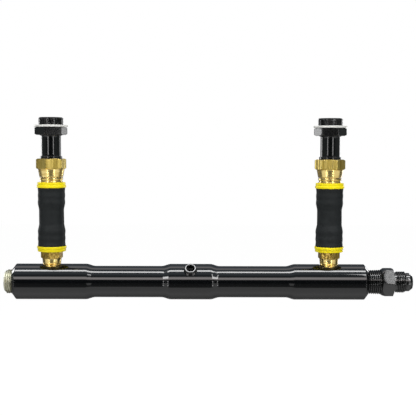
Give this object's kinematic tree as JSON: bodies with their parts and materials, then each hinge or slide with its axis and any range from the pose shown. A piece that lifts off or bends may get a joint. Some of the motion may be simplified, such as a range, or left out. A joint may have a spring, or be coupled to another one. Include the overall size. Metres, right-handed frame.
{
  "type": "fuel log",
  "caption": "Level black fuel log with upright hose branches that end in carburettor inlet fittings, a plugged end and a flared fuel inlet.",
  "frame": {"origin": "axis of the left inlet fitting, at the face of its sealing washer that meets the carburettor", "axes": "+Z out of the left inlet fitting's thread, up into the carburettor; +X along the log towards its fuel inlet; the gauge port plug faces -Y and up"},
  "size_m": [0.3648, 0.0334, 0.1623],
  "materials": {
    "log_black": "gloss black anodised",
    "fitting_black": "satin black anodised",
    "plug_metal": "bright zinc plated",
    "brass": "machined",
    "ring_yellow": "moulded",
    "hose_black": "matte cover",
    "washer_white": "plain"
  },
  "bodies": {
    "root": {"log_tube": "log_black", "end_plug": "plug_metal", "inlet_adapter": "fitting_black", "gauge_port_plug": "fitting_black", "left_lower_fitting": "brass", "left_lower_collar": "ring_yellow", "left_hose": "hose_black", "left_upper_collar": "ring_yellow", "left_hose_stem": "brass", "left_swivel_nut": "brass", "left_inlet_fitting": "fitting_black", "left_sealing_washer": "washer_white", "right_lower_fitting": "brass", "right_lower_collar": "ring_yellow", "right_hose": "hose_black", "right_upper_collar": "ring_yellow", "right_hose_stem": "brass", "right_swivel_nut": "brass", "right_inlet_fitting": "fitting_black", "right_sealing_washer": "washer_white"}
  },
  "joints": []
}
